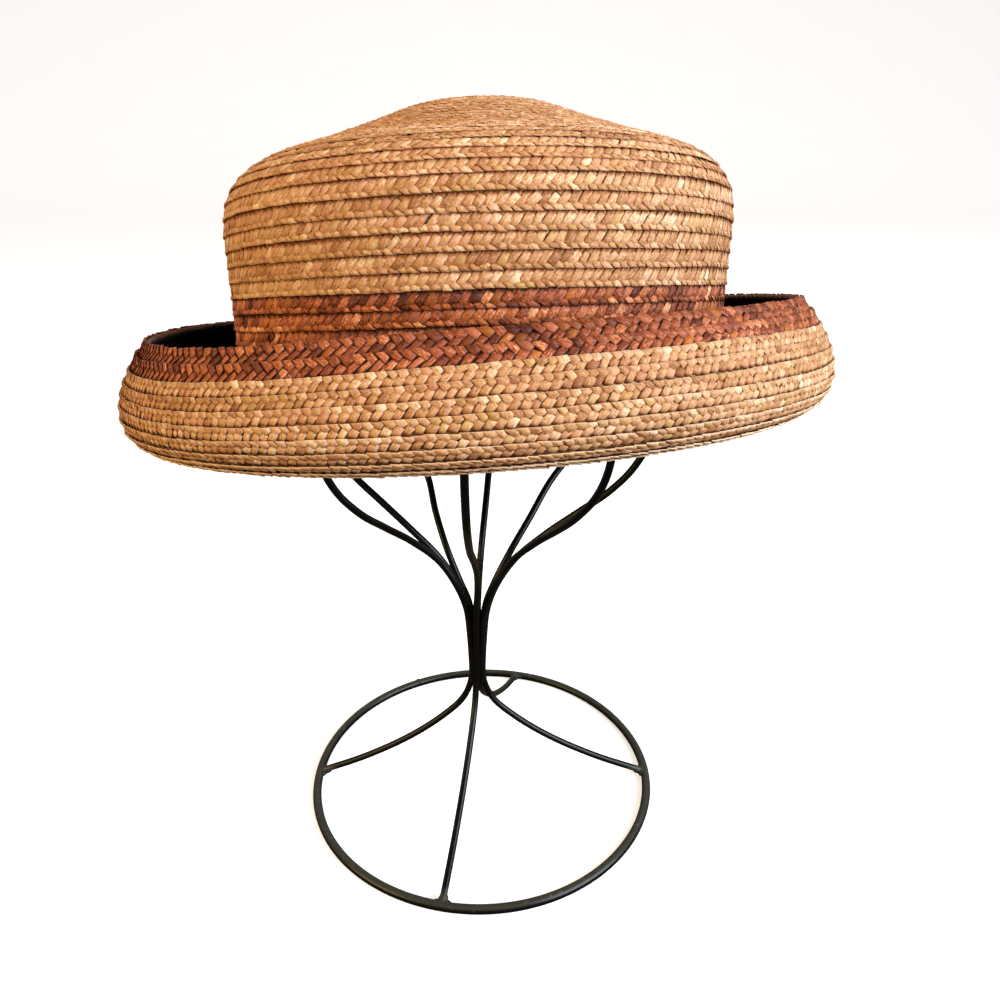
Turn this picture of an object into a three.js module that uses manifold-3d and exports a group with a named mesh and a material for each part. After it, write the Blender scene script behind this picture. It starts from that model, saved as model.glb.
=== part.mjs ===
// A straw bowler hat with a rolled brim, sitting on a black wire tree stand.
//
// Millimetres, +Z up, standing on the plane z = 0. The front of the hat faces -Y and its length
// lies along X. The origin is on the floor, under the middle of the whole object.
//
// The hat is sewn straw braid. Its crown, the rust coloured rows at the crown's foot, the rolled
// brim, the two rust rows at the rim and the black facing are thin shells of one oval family,
// measured in the hat's own frame: z = 0 at the crown's foot, +Z along the crown's axis.

import * as THREE from 'three';
import { mergeVertices } from 'three/addons/utils/BufferGeometryUtils.js';
import Module from 'manifold-3d';

const wasm = await Module();
wasm.setup();

// ---- Driving dimensions of the hat -----------------------------------------------------------

const FOOT_RADIUS = 93.2;         // mean of the crown's half length and half width at its foot
const OVAL_STRETCH = 7.25;        // the half length is this much over the mean, the half width under
const OVAL_FADE = 16;             // rows smaller than about this radius grow rounder
const STRAW_THICKNESS = 2.2;      // two layers of lapped braid
const FACING_THICKNESS = 1;
const FACING_START = 1.5;         // from the head opening, along the brim's surface
const PIECE_GAP = 0.3;            // between neighbouring pieces

const BAND_HEIGHT = 40.7;         // rust rows cover the crown from its foot up to here
const CROWN_LEAN = 0.03;          // the crown leans this much to the right per millimetre of height
const BRIM_EDGE_WIDTH = 11.8;     // the two rust rows at the rim, along the brim's surface
const BRIM_SHIFT = -0.8;          // the rim sits a little to the left of the crown's foot
const BRIM_LIFT_RIGHT = 4;        // the rim is raised at the right and at the back
const BRIM_LIFT_BACK = 3.3;
const BRIM_BREAK_WIDTH = 22;      // the shift and the lift grow in over this much of the brim

const HAT_FOOT = new THREE.Vector3(1.2, -8, 222.5);   // the crown's foot, from the ring's middle
const HAT_TILT_BACK = THREE.MathUtils.degToRad(12.3);
const HAT_TILT_LEFT = THREE.MathUtils.degToRad(1.8);

// Outside of the crown, from its foot to its tip: a soft bulge, a round shoulder, a gently
// sloping top and a slightly raised dome.
const CROWN_PROFILE = [
  { radius: FOOT_RADIUS, height: 0 },
  { radius: FOOT_RADIUS, height: 22 },
  { radius: 94.6, height: 52 },
  { radius: 95.3, height: 68 },
  { radius: 93.6, height: 78.5 },
  { radius: 88, height: 86.5 },
  { radius: 78, height: 92.8 },
  { radius: 60, height: 99 },
  { radius: 40, height: 106.6 },
  { radius: 20, height: 114.4 },
  { radius: 0, height: 118 },
];

// Underside and outside of the brim, from the head opening to the rim: it droops from the crown,
// turns up, bulges outwards and leans back in at the rim. Outset is measured from the crown's foot.
const BRIM_PROFILE = [
  { outset: -STRAW_THICKNESS, height: -2.4 },
  { outset: 8, height: -6.3 },
  { outset: 17, height: -9.2 },
  { outset: 26.5, height: -10.5 },
  { outset: 35, height: -9 },
  { outset: 41.8, height: -3.8 },
  { outset: 44.5, height: 4 },
  { outset: 43, height: 13.5 },
  { outset: 38, height: 24 },
  { outset: 31.5, height: 32.8 },
];

// ---- Driving dimensions of the stand ---------------------------------------------------------

const RING_RADIUS = 89;           // to the middle of the wire, a seven inch ring
const RING_WIRE = 4.5;
const WIRE = 3.4;                 // of the legs and branches
const TRUNK_SHIFT = -2;           // the trunk stands a little to the left of the ring's middle
const TIP_RADIUS = 50;            // where the branches reach the inside of the crown's top
const TIP_DEPTH = 1.5;            // from the straw to the middle of a branch's end

// From under the trunk down to the ring.
const LEG_ROUTE = [
  { reach: 2.7, height: 80 },
  { reach: 3.2, height: 64 },
  { reach: 8, height: 52 },
  { reach: 19, height: 40.5 },
  { reach: 37, height: 27 },
  { reach: 62, height: 13.3 },
  { reach: RING_RADIUS, height: RING_WIRE / 2 },
];

// From the trunk up to the crown, for a branch with a spread of 72 mm. Late and early are how far
// a branch has turned from its stem's direction to its own: the eight wires stand side by side
// round the trunk, draw together into stems and then part, some of them sooner than others.
const BRANCH_ROUTE = [
  { reach: 2.4, height: 64, late: 1, early: 1 },
  { reach: 3.3, height: 88, late: 1, early: 1 },
  { reach: 5.2, height: 108, late: 0.8, early: 0.8 },
  { reach: 9.8, height: 122, late: 0.4, early: 0.45 },
  { reach: 18, height: 136, late: 0.3, early: 0.6 },
  { reach: 31, height: 150, late: 0.55, early: 0.85 },
  { reach: 45, height: 163, late: 0.85, early: 1 },
  { reach: 58, height: 175, late: 1, early: 1 },
  { reach: 68, height: 188, late: 1, early: 1 },
  { reach: 74, height: 204, late: 1, early: 1 },
  { reach: 75, height: 232, late: 1, early: 1 },
  { reach: 68, height: 268, late: 1, early: 1 },
];
const ROUTE_SPREAD = 72;

// Directions in degrees from +X, anticlockwise from above.
const LEG_DIRECTIONS = [0, 77, 180, 259];
const BRANCHES = [
  { stem: 180, direction: 213, spread: 72, parts: 'late' },
  { stem: 180, direction: 171, spread: 72, parts: 'late' },
  { stem: 180, direction: 125, spread: 69, parts: 'early' },
  { stem: 282, direction: 269, spread: 72, parts: 'late' },
  { stem: 80, direction: 82, spread: 66, parts: 'late' },
  { stem: 0, direction: 38, spread: 74, parts: 'early' },
  { stem: 0, direction: -8, spread: 77, parts: 'late' },
  { stem: 0, direction: -40, spread: 71, parts: 'late' },
];

// ---- Facet counts ----------------------------------------------------------------------------

const SEGMENTS = 48;              // round the hat and the ring
const CROWN_STATIONS = 11;
const BAND_STATIONS = 3;
const BRIM_STATIONS = 7;
const EDGE_STATIONS = 3;
const RING_SIDES = 8;
const WIRE_SIDES = 6;
const LEG_STEPS = 12;
const BRANCH_STEPS = 22;

// ---- Curves in the hat's section -------------------------------------------------------------

// A section curve gives points and outward normals by distance along the surface, so that a wall
// is the stretch between two distances and two depths under the surface.
function sectionCurve(rows) {
  const curve = new THREE.SplineCurve(rows.map((row) => new THREE.Vector2(row.radius, row.height)));
  curve.arcLengthDivisions = 400;
  const length = curve.getLength();
  return {
    length,
    at(distance, depth) {
      const u = THREE.MathUtils.clamp(distance / length, 0, 1);
      const point = curve.getPointAt(u);
      const tangent = curve.getTangentAt(u);
      return { radius: point.x - depth * tangent.y, height: point.y + depth * tangent.x };
    },
  };
}

const crownSection = sectionCurve(CROWN_PROFILE);
const brimSection = sectionCurve(
  BRIM_PROFILE.map((row) => ({ radius: FOOT_RADIUS + row.outset, height: row.height })),
);

// ---- Ovals -----------------------------------------------------------------------------------

function ovalPoint(radius, height, angle) {
  const stretch = OVAL_STRETCH * (1 - Math.exp(-radius / OVAL_FADE));
  return new THREE.Vector3(
    (radius + stretch) * Math.cos(angle), (radius - stretch) * Math.sin(angle), height,
  );
}

function crownPoint(station, angle) {
  const point = ovalPoint(station.radius, station.height, angle);
  point.x += CROWN_LEAN * station.height;
  return point;
}

function brimPoint(station, angle) {
  const point = ovalPoint(station.radius, station.height, angle);
  const grown = THREE.MathUtils.smoothstep(station.radius - FOOT_RADIUS, 0, BRIM_BREAK_WIDTH);
  point.x += BRIM_SHIFT * grown;
  point.z += (BRIM_LIFT_RIGHT * Math.cos(angle) + BRIM_LIFT_BACK * Math.sin(angle)) * grown;
  return point;
}

// ---- Closed shells ---------------------------------------------------------------------------

// Sweeps a closed loop of stations round the hat. With a tip, the loop's first and last stations
// lie on the axis and each is one vertex.
function ovalShell(stations, placePoint, hasTip) {
  const positions = [];
  const rings = stations.map((station, index) => {
    const isTip = hasTip && (index === 0 || index === stations.length - 1);
    const count = isTip ? 1 : SEGMENTS;
    return Array.from({ length: count }, (_, k) => {
      positions.push(...placePoint(station, (2 * Math.PI * k) / SEGMENTS).toArray());
      return positions.length / 3 - 1;
    });
  });
  const indices = [];
  const ringPairs = rings.slice(1).map((ring, index) => [rings[index], ring]);
  if (!hasTip) ringPairs.push([rings[rings.length - 1], rings[0]]);
  for (const [a, b] of ringPairs) {
    for (let k = 0; k < SEGMENTS; k++) {
      const next = (k + 1) % SEGMENTS;
      if (a.length > 1) indices.push(a[k], b[next % b.length], a[next]);
      if (b.length > 1) indices.push(a[k % a.length], b[k], b[next]);
    }
  }
  const geometry = new THREE.BufferGeometry();
  geometry.setAttribute('position', new THREE.Float32BufferAttribute(positions, 3));
  geometry.setIndex(indices);
  return geometry;
}

function spaced(from, to, count) {
  return Array.from({ length: count }, (_, i) => THREE.MathUtils.lerp(from, to, i / (count - 1)));
}

// The stations of a wall between two depths under a section's surface: back along the surface,
// then forward along the inside.
function wallStations(section, distances, top, bottom) {
  return [
    ...distances.map((distance) => section.at(distance, top)).reverse(),
    ...distances.map((distance) => section.at(distance, bottom)),
  ];
}

// Both ends of the crown's loop lie on the axis.
function crownGeometry() {
  const distances = spaced(BAND_HEIGHT + PIECE_GAP, crownSection.length, CROWN_STATIONS);
  const stations = wallStations(crownSection, distances, 0, STRAW_THICKNESS);
  stations[0].radius = 0;
  stations[stations.length - 1].radius = 0;
  return ovalShell(stations, crownPoint, true);
}

function bandGeometry() {
  const distances = spaced(0, BAND_HEIGHT, BAND_STATIONS);
  return ovalShell(wallStations(crownSection, distances, 0, STRAW_THICKNESS), crownPoint, false);
}

const brimTop = brimSection.length - BRIM_EDGE_WIDTH;
const brimDistances = [0, ...spaced(FACING_START, brimTop - PIECE_GAP, BRIM_STATIONS)];
const edgeDistances = spaced(brimTop, brimSection.length, EDGE_STATIONS);

function brimGeometry() {
  const stations = wallStations(brimSection, brimDistances, 0, STRAW_THICKNESS);
  return ovalShell(stations, brimPoint, false);
}

function brimEdgeGeometry() {
  const stations = wallStations(brimSection, edgeDistances, 0, STRAW_THICKNESS);
  return ovalShell(stations, brimPoint, false);
}

// The facing lies on the brim, station by station, and starts just clear of the crown.
function facingGeometry() {
  const under = STRAW_THICKNESS + PIECE_GAP;
  const distances = [...brimDistances.slice(1), ...edgeDistances.slice(1)];
  return ovalShell(
    wallStations(brimSection, distances, under, under + FACING_THICKNESS), brimPoint, false,
  );
}

// ---- Wires -----------------------------------------------------------------------------------

function toSolid(geometry) {
  const plain = new THREE.BufferGeometry();
  plain.setAttribute('position', geometry.getAttribute('position').clone());
  if (geometry.index) plain.setIndex(geometry.index.clone());
  const merged = mergeVertices(plain, 1e-4);
  return new wasm.Manifold(new wasm.Mesh({
    numProp: 3,
    vertProperties: new Float32Array(merged.getAttribute('position').array),
    triVerts: new Uint32Array(merged.index.array),
  }));
}

function toGeometry(solid) {
  const mesh = solid.getMesh();
  const geometry = new THREE.BufferGeometry();
  geometry.setAttribute('position', new THREE.Float32BufferAttribute(mesh.vertProperties, 3));
  geometry.setIndex(new THREE.BufferAttribute(new Uint32Array(mesh.triVerts), 1));
  return geometry;
}

// A point by its distance and direction from the trunk, whose shift fades towards the ring.
function polar(reach, degrees, height, shift = TRUNK_SHIFT) {
  const angle = THREE.MathUtils.degToRad(degrees);
  return new THREE.Vector3(shift + reach * Math.cos(angle), reach * Math.sin(angle), height);
}

function wireSolid(points, steps) {
  const section = new THREE.Shape(Array.from({ length: WIRE_SIDES }, (_, i) => {
    const angle = (2 * Math.PI * i) / WIRE_SIDES;
    return new THREE.Vector2(Math.cos(angle), Math.sin(angle)).multiplyScalar(WIRE / 2);
  }));
  return toSolid(new THREE.ExtrudeGeometry(section, {
    steps,
    bevelEnabled: false,
    extrudePath: new THREE.CatmullRomCurve3(points, false, 'centripetal'),
  }));
}

// The ring's section is an octagon that lies flat on the floor.
function ringSolid() {
  const corner = RING_WIRE / 2 / Math.cos(Math.PI / RING_SIDES);
  const profile = Array.from({ length: RING_SIDES + 1 }, (_, i) => {
    const angle = (2 * Math.PI * ((i % RING_SIDES) + 0.5)) / RING_SIDES;
    return new THREE.Vector2(RING_RADIUS + corner * Math.cos(angle), corner * Math.sin(angle));
  });
  const ring = new THREE.LatheGeometry(profile, SEGMENTS);
  ring.rotateX(Math.PI / 2);
  ring.translate(0, 0, RING_WIRE / 2);
  return toSolid(ring);
}

function legPoints(direction) {
  return LEG_ROUTE.map((row) => (
    polar(row.reach, direction, row.height, TRUNK_SHIFT * (1 - row.reach / RING_RADIUS))
  ));
}

// A branch ends just under the inside of the crown's top, found in the hat's own frame.
function branchTip(direction, hatMatrix) {
  const distance = distanceAtRadius(TIP_RADIUS);
  const station = crownSection.at(distance, STRAW_THICKNESS + TIP_DEPTH);
  return crownPoint(station, THREE.MathUtils.degToRad(direction)).applyMatrix4(hatMatrix);
}

// Distance along the crown's section at which its top narrows to a radius.
function distanceAtRadius(radius) {
  let low = crownSection.length / 2;
  let high = crownSection.length;
  for (let i = 0; i < 30; i++) {
    const middle = (low + high) / 2;
    if (crownSection.at(middle, 0).radius > radius) low = middle;
    else high = middle;
  }
  return low;
}

function branchPoints({ stem, direction, spread, parts }, hatMatrix) {
  const points = BRANCH_ROUTE.map((row) => {
    const heading = THREE.MathUtils.lerp(stem, direction, row[parts]);
    return polar((row.reach * spread) / ROUTE_SPREAD, heading, row.height);
  });
  return [...points, branchTip(direction, hatMatrix)];
}

function standGeometry(hatMatrix) {
  let stand = ringSolid();
  for (const direction of LEG_DIRECTIONS) {
    stand = stand.add(wireSolid(legPoints(direction), LEG_STEPS));
  }
  for (const branch of BRANCHES) {
    stand = stand.add(wireSolid(branchPoints(branch, hatMatrix), BRANCH_STEPS));
  }
  return toGeometry(stand);
}

// ---- The object ------------------------------------------------------------------------------

function piece(name, geometry, color, roughness, metalness = 0) {
  const material = new THREE.MeshStandardMaterial({ color, roughness, metalness });
  geometry.computeVertexNormals();
  const mesh = new THREE.Mesh(geometry, material);
  mesh.name = name;
  return mesh;
}

const hat = new THREE.Group();
hat.position.copy(HAT_FOOT);
hat.rotation.set(-HAT_TILT_BACK, -HAT_TILT_LEFT, 0);
hat.updateMatrix();
hat.add(
  piece('crown', crownGeometry(), 0xc9985f, 0.7),
  piece('crown_band', bandGeometry(), 0x8f4a26, 0.65),
  piece('brim', brimGeometry(), 0xc39460, 0.7),
  piece('brim_edge', brimEdgeGeometry(), 0x8f4a26, 0.65),
  piece('brim_facing', facingGeometry(), 0x0d0b0b, 0.9),
);

const hatOnStand = new THREE.Group();
hatOnStand.add(hat, piece('wire_stand', standGeometry(hat.matrix), 0x0b0b0b, 0.4, 0.6));

// The middle of the object's box goes over the origin.
const box = new THREE.Box3().setFromObject(hatOnStand, true);
hatOnStand.position.set(-(box.min.x + box.max.x) / 2, -(box.min.y + box.max.y) / 2, 0);

export default hatOnStand;
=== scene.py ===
# A sewn straw bowler hat with a rolled brim, on its black wire tree stand.

import math
from dataclasses import dataclass

import bpy
import numpy as np
from mathutils import Matrix, Vector


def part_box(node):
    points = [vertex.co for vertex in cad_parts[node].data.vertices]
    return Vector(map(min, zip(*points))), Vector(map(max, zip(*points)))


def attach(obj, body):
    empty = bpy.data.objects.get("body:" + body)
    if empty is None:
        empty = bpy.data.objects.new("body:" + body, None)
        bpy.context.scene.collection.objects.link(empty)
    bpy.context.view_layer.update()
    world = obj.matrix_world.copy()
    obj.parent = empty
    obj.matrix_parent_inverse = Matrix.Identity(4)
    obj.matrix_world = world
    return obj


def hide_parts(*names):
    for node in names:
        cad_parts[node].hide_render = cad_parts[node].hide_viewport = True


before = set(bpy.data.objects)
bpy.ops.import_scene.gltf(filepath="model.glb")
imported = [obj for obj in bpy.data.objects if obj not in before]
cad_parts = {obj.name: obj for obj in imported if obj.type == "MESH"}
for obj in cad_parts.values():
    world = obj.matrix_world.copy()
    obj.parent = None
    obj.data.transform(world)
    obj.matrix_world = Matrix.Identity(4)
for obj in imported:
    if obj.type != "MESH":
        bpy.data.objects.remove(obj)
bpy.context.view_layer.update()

MM = 0.001


# ---- The stand's ring ------------------------------------------------------------------------
# One bar of round steel, bent to a seven inch circle and butt welded at the back. It lies on
# the floor and carries everything else. Dipped in black paint.

RING_RADIUS = 89 * MM
RING_BAR = 4.5 * MM
stand_low, stand_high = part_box("wire_stand")
ring_middle = Vector(((stand_low.x + stand_high.x) / 2, (stand_low.y + stand_high.y) / 2, 0))


def deselect_all():
    if bpy.context.mode != "OBJECT":
        bpy.ops.object.mode_set(mode="OBJECT")
    bpy.ops.object.select_all(action="DESELECT")


def just_made(name):
    piece = bpy.context.view_layer.objects.active
    piece.name = name
    piece.data.name = name
    return piece


def pick(*pieces):
    deselect_all()
    for piece in pieces:
        piece.select_set(True)
    bpy.context.view_layer.objects.active = pieces[0]


def join_pieces(name, pieces):
    pick(*pieces)
    bpy.ops.object.join()
    return just_made(name)


def settle(piece):
    # Place, turn and size go into the mesh, and the object itself stays at the origin.
    pick(piece)
    bpy.ops.object.transform_apply(location=True, rotation=True, scale=True)


def face_outwards():
    bpy.ops.mesh.select_all(action="SELECT")
    bpy.ops.mesh.normals_make_consistent(inside=False)
    bpy.ops.object.mode_set(mode="OBJECT")


def hand_over(piece, slot, material, *nodes):
    piece.data.materials.clear()
    piece.data.materials.append(material)
    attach(piece, "root")
    if nodes:
        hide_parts(*nodes)


class Value:
    # A socket whose arithmetic adds the Math nodes.
    def __init__(self, nodes, socket):
        self.nodes, self.socket = nodes, socket

    def maths(self, operation, *others, swap=False):
        values = [self, *others]
        values = dict(enumerate(reversed(values) if swap else values))
        return self.nodes.node("ShaderNodeMath", values, operation=operation)

    def __add__(self, other): return self.maths("ADD", other)
    def __radd__(self, other): return self.maths("ADD", other, swap=True)
    def __sub__(self, other): return self.maths("SUBTRACT", other)
    def __rsub__(self, other): return self.maths("SUBTRACT", other, swap=True)
    def __mul__(self, other): return self.maths("MULTIPLY", other)
    def __truediv__(self, other): return self.maths("DIVIDE", other)
    def __pow__(self, other): return self.maths("POWER", other)


class Nodes:
    # A node tree under its maker's hand: one method adds any node.
    def __init__(self, tree):
        self.tree = tree

    def node(self, kind, inputs=None, output=0, **settings):
        node = self.tree.nodes.new(kind)
        for key, value in settings.items():
            setattr(node, key, value)
        for key, value in (inputs or {}).items():
            self.feed(node.inputs[key], value)
        return Value(self, node.outputs[output])

    def feed(self, socket, value):
        if isinstance(value, Value):
            self.tree.links.new(value.socket, socket)
        else:
            socket.default_value = (*value, 1) if socket.type == "RGBA" else value

    def mix(self, share, first, second):
        sides = {0: share, 6: first, 7: second}
        return self.node("ShaderNodeMix", sides, output=2, data_type="RGBA")

    def ramp(self, value, stops):
        colour = self.node("ShaderNodeValToRGB", {0: value})
        elements = colour.socket.node.color_ramp.elements
        while len(elements) < len(stops):
            elements.new(0.5)
        for element, (place, shade) in zip(elements, stops):
            element.position = place
            element.color = (*shade, 1)
        return colour

    def grade(self, value, low, high, kind="SMOOTHSTEP"):
        # 0 at low and below, 1 at high and above.
        ends = {"Value": value, "From Min": low, "From Max": high}
        return self.node("ShaderNodeMapRange", ends, interpolation_type=kind)

    def noise(self, where, scale, detail=2, roughness=0.5, stretch=(1, 1, 1)):
        stretched = self.node("ShaderNodeMapping", {"Vector": where, "Scale": stretch})
        return self.node("ShaderNodeTexNoise", {
            "Vector": stretched, "Scale": scale, "Detail": detail, "Roughness": roughness,
        })

    def parts(self, value, kind="XYZ"):
        node = self.node("ShaderNodeSeparate" + kind, {0: value}).socket.node
        return [Value(self, output) for output in node.outputs]

    def place(self):
        return self.node("ShaderNodeTexCoord", output=3)

    def bump(self, strength, depth, height):
        return self.node(
            "ShaderNodeBump", {"Strength": strength, "Distance": depth * MM, "Height": height},
        )


class Finish(Nodes):
    # The nodes of one material.
    def __init__(self, name):
        self.material = bpy.data.materials.new(name)
        self.material.use_nodes = True
        super().__init__(self.material.node_tree)
        self.shader = next(n for n in self.tree.nodes if n.type == "BSDF_PRINCIPLED")

    def set(self, **sockets):
        for name, value in sockets.items():
            self.feed(self.shader.inputs[name.replace("_", " ")], value)


def sRGB(red, green, blue):
    return tuple(
        (c / 255 / 12.92) if c <= 10 else (((c / 255) + 0.055) / 1.055) ** 2.4
        for c in (red, green, blue)
    )


def black_paint():
    # Dipped black enamel on steel: a little orange-peeled, dusty and thin in places, with a
    # painted highlight along the top of the ring.
    paint = Finish("black_paint")
    place = paint.place()
    runs = paint.noise(place, 90, detail=3, stretch=(1, 1, 0.35))
    peel = paint.noise(place, 1400, detail=2)
    dust = paint.grade(paint.noise(place, 260, detail=4, roughness=0.65), 0.58, 0.74)
    thin = paint.grade(paint.noise(place, 620, detail=3, roughness=0.6), 0.70, 0.76)
    high = paint.parts(place)[2]
    # Painted highlight: a band of height along the ring's top is mixed towards light grey, more
    # where dust lies.
    painted_top_highlight = paint.grade(high, 3.0 * MM, 4.5 * MM) * paint.grade(high, 7 * MM, 5 * MM)
    colour = paint.mix(runs, (0.0010, 0.0011, 0.0011), (0.0024, 0.0025, 0.0024))
    colour = paint.mix(dust * 0.25, colour, (0.020, 0.019, 0.015))
    colour = paint.mix(thin * 0.4, colour, (0.034, 0.027, 0.018))
    colour = paint.mix(painted_top_highlight * (0.35 + dust * 0.4), colour, (0.105, 0.098, 0.076))
    paint.set(
        Base_Color=colour, Roughness=0.20 + runs * 0.10 + dust * 0.25 + thin * 0.2,
        Normal=paint.bump(0.35, 0.12, peel + runs * 2),
    )
    paint.shader.inputs["Specular IOR Level"].default_value = 0.22
    return paint.material


black_wire = black_paint()

deselect_all()
bpy.ops.mesh.primitive_torus_add(
    major_radius=RING_RADIUS, minor_radius=RING_BAR / 2, major_segments=144, minor_segments=16,
    location=ring_middle + Vector((0, 0, RING_BAR / 2)),
)
ring = just_made("stand_ring")
settle(ring)
# Bent by hand, so it is not perfectly round.
for vertex in ring.data.vertices:
    spoke = vertex.co - ring_middle
    turn = math.atan2(spoke.y, spoke.x)
    swell = 1 + 0.0022 * math.sin(2 * turn + 0.7) + 0.0012 * math.sin(5 * turn + 2)
    vertex.co.x = ring_middle.x + spoke.x * swell
    vertex.co.y = ring_middle.y + spoke.y * swell
bpy.ops.object.shade_smooth()


# ---- The stand's legs ------------------------------------------------------------------------
# Four legs of lighter round wire come in from the ring, rise and stand side by side as a trunk
# with eight branches, which draw together in stems, part, and spread up into the hat. All are
# cut from straight wire, bent over a former and welded where they touch.

WIRE = 3.4 * MM
TRUNK_SHIFT = -2
LEG_DIRECTIONS = (0, 77, 180, 259)
LEG_ROUTE = ((2.7, 80), (3.2, 64), (8, 52), (19, 40.5), (37, 27), (62, 13.3), (89, 2.25))
# Reach and height, and how far a branch that parts late or early has turned from its stem.
BRANCH_ROUTE = (
    (2.4, 64, 1, 1), (3.3, 88, 1, 1), (5.2, 108, 0.8, 0.8), (9.8, 122, 0.4, 0.45),
    (18, 136, 0.3, 0.6), (31, 150, 0.55, 0.85), (45, 163, 0.85, 1), (58, 175, 1, 1),
    (68, 188, 1, 1), (74, 204, 1, 1), (75, 232, 1, 1), (68, 268, 1, 1),
)
LATE, EARLY = 2, 3                # columns of the route
# Which way a branch's stem goes, which way the branch, how far it spreads and when it parts.
BRANCHES = (
    (180, 213, 72, LATE), (180, 171, 72, LATE), (180, 125, 69, EARLY), (282, 269, 72, EARLY),
    (80, 82, 66, LATE), (0, 38, 74, EARLY), (0, -8, 77, LATE), (0, -40, 71, LATE),
)
ROUTE_SPREAD = 72                 # the spread that the route is drawn for
BRANCH_TIP_RADIUS = 50 * MM
BRANCH_TIP_DEPTH = 3.7 * MM

# The hat's own frame, which the branch tips reach up into: its foot and its tilt on the stand.
HAT_FOOT = Vector((1.2, -8, 222.5)) * MM
HAT_TILT_BACK = math.radians(12.3)
HAT_TILT_LEFT = math.radians(1.8)
hat_place = (
    Matrix.Translation(ring_middle + HAT_FOOT)
    @ Matrix.Rotation(-HAT_TILT_BACK, 4, "X") @ Matrix.Rotation(-HAT_TILT_LEFT, 4, "Y")
)


def at_trunk(reach, degrees, height, shift=TRUNK_SHIFT):
    turn = math.radians(degrees)
    spot = Vector((shift + reach * math.cos(turn), reach * math.sin(turn), height)) * MM
    return ring_middle + spot


def smooth_span(start, end, pull_in, pull_out, t):
    return (start + pull_in * t + (start * -3 + end * 3 - pull_in * 2 - pull_out) * t**2
            + (start * 2 - end * 2 + pull_in + pull_out) * t**3)


def bent_wire_route(stations, steps=7):
    # The smooth line through the stations that a springy wire takes (centripetal spline).
    first = stations[0] * 2 - stations[1]
    last = stations[-1] * 2 - stations[-2]
    line = [first, *stations, last]
    route = []
    for before, start, end, after in zip(line, line[1:], line[2:], line[3:]):
        gaps = [max((b - a).length ** 0.5, 1e-6)
                for a, b in ((before, start), (start, end), (end, after))]
        pull_in = ((start - before) / gaps[0] - (end - before) / (gaps[0] + gaps[1])
                   + (end - start) / gaps[1]) * gaps[1]
        pull_out = ((end - start) / gaps[1] - (after - start) / (gaps[1] + gaps[2])
                    + (after - end) / gaps[2]) * gaps[1]
        for step in range(steps):
            route.append(smooth_span(start, end, pull_in, pull_out, step / steps))
    route.append(stations[-1])
    return route


def round_end(end, inner):
    along = (end - inner).normalized() * WIRE / 2
    return [(end + along * reach, size) for reach, size in ((0.55, 0.84), (0.87, 0.5), (1, 0.08))]


def wire_along(name, route, round_foot=True):
    # A curve with a round bevel, made a mesh. The ends are ground round where they show.
    curve = bpy.data.curves.new(name, "CURVE")
    curve.dimensions = "3D"
    curve.bevel_depth = WIRE / 2
    curve.bevel_resolution = 4
    curve.use_fill_caps = True
    places = round_end(route[0], route[1])[::-1] + [(spot, 1) for spot in route]
    if round_foot:
        places += round_end(route[-1], route[-2])
    spline = curve.splines.new("POLY")
    spline.points.add(len(places) - 1)
    for point, (spot, size) in zip(spline.points, places):
        point.co = (*spot, 1)
        point.radius = size
    piece = bpy.data.objects.new(name, curve)
    bpy.context.collection.objects.link(piece)
    pick(piece)
    bpy.ops.object.convert(target="MESH")
    return just_made(name)


legs = []
for number, direction in enumerate(LEG_DIRECTIONS):
    stations = [
        at_trunk(reach, direction, height, TRUNK_SHIFT * (1 - reach * MM / RING_RADIUS))
        for reach, height in LEG_ROUTE
    ]
    legs.append(wire_along(f"leg_{number}", bent_wire_route(stations), round_foot=False))
stand_legs = join_pieces("stand_legs", legs)
bpy.ops.object.shade_smooth()
hand_over(stand_legs, "black_wire", black_wire)


# ---- The stand's branches --------------------------------------------------------------------
# Eight wires stand side by side round the trunk, part, and rise inside the crown, whose top
# rests on their rounded tips. The crown's shape is set down here, since the tips are cut to it.

SECTION_STEPS = 1600
FOOT_RADIUS = 93.2
OVAL_STRETCH = 7.25 * MM
OVAL_FADE = 16 * MM
CROWN_LEAN = 0.03
CROWN_PROFILE = (
    (FOOT_RADIUS, 0), (FOOT_RADIUS, 22), (94.6, 52), (95.3, 68), (93.6, 78.5), (88, 86.5),
    (78, 92.8), (60, 99), (40, 106.6), (20, 114.4), (0, 118),
)


class Section:
    # The outside of the hat cut through its axis: places by distance along the surface.
    def __init__(self, profile):
        rows = np.array(profile, float) * MM
        rows = np.vstack([rows[:1], rows, rows[-1:]])
        t = np.linspace(0, 1, SECTION_STEPS // (len(profile) - 1), endpoint=False)[:, None]
        spans = []
        for before, start, end, after in zip(rows, rows[1:], rows[2:], rows[3:]):
            pull_in, pull_out = (end - before) / 2, (after - start) / 2
            spans.append(smooth_span(start, end, pull_in, pull_out, t))
        line = np.vstack([*spans, rows[-1:]])
        steps = np.hypot(*np.diff(line, axis=0).T)
        self.distance = np.concatenate([[0], np.cumsum(steps)])
        self.length = self.distance[-1]
        self.line = line
        slope = np.gradient(line, self.distance, axis=0)
        self.slope = slope / np.hypot(*slope.T)[:, None]

    def at(self, distance, rise=0):
        # Radius and height at a distance along the surface and a rise above it.
        radius, height = (np.interp(distance, self.distance, side) for side in self.line.T)
        out, up = (np.interp(distance, self.distance, side) for side in self.slope.T)
        # Past either end the surface runs straight on.
        past = np.maximum(distance - self.length, 0) + np.minimum(distance, 0)
        return radius + rise * up + past * out, height - rise * out + past * up


crown_section = Section(CROWN_PROFILE)


def oval_stretch(radius):
    return OVAL_STRETCH * (1 - np.exp(-np.maximum(radius, 0) / OVAL_FADE))


def on_oval(angle, radius, height):
    stretch = oval_stretch(radius)
    return np.stack(
        [(radius + stretch) * np.cos(angle), (radius - stretch) * np.sin(angle),
         height + 0 * angle], axis=-1,
    )


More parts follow.
